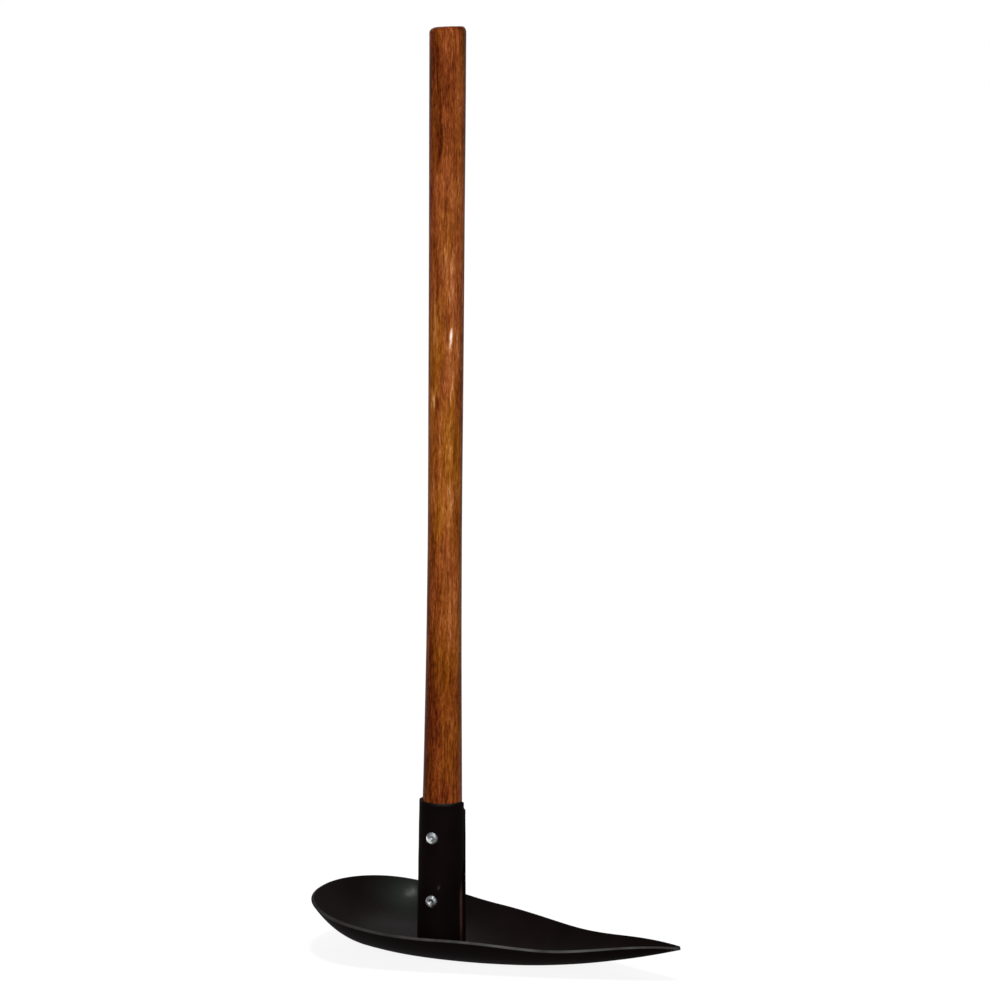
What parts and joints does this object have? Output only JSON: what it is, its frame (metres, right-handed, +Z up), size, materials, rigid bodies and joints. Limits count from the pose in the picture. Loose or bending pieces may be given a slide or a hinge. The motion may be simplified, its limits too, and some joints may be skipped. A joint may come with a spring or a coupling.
{
  "type": "pick hoe",
  "caption": "Pick hoe with a straight wooden handle riveted into a split steel socket, standing inside a dished, leaf-shaped steel blade with a round heel and a point.",
  "frame": {"origin": "under the middle of the blade's box, on the ground that the blade's belly rests on", "axes": "+Z up along the handle, +X towards the blade's point, Y across the blade"},
  "size_m": [0.388, 0.1902, 0.9186],
  "materials": {
    "handle_wood": "stained and varnished hardwood",
    "socket_paint": "satin black paint",
    "blade_paint": "satin black paint",
    "weld_paint": "satin black paint over a rippled bead",
    "rivet_zinc": "bright zinc-plated steel"
  },
  "bodies": {
    "root": {"handle": "handle_wood", "socket": "socket_paint", "blade": "blade_paint", "foot_weld": "weld_paint", "rivet_upper": "rivet_zinc", "rivet_lower": "rivet_zinc"}
  },
  "joints": []
}
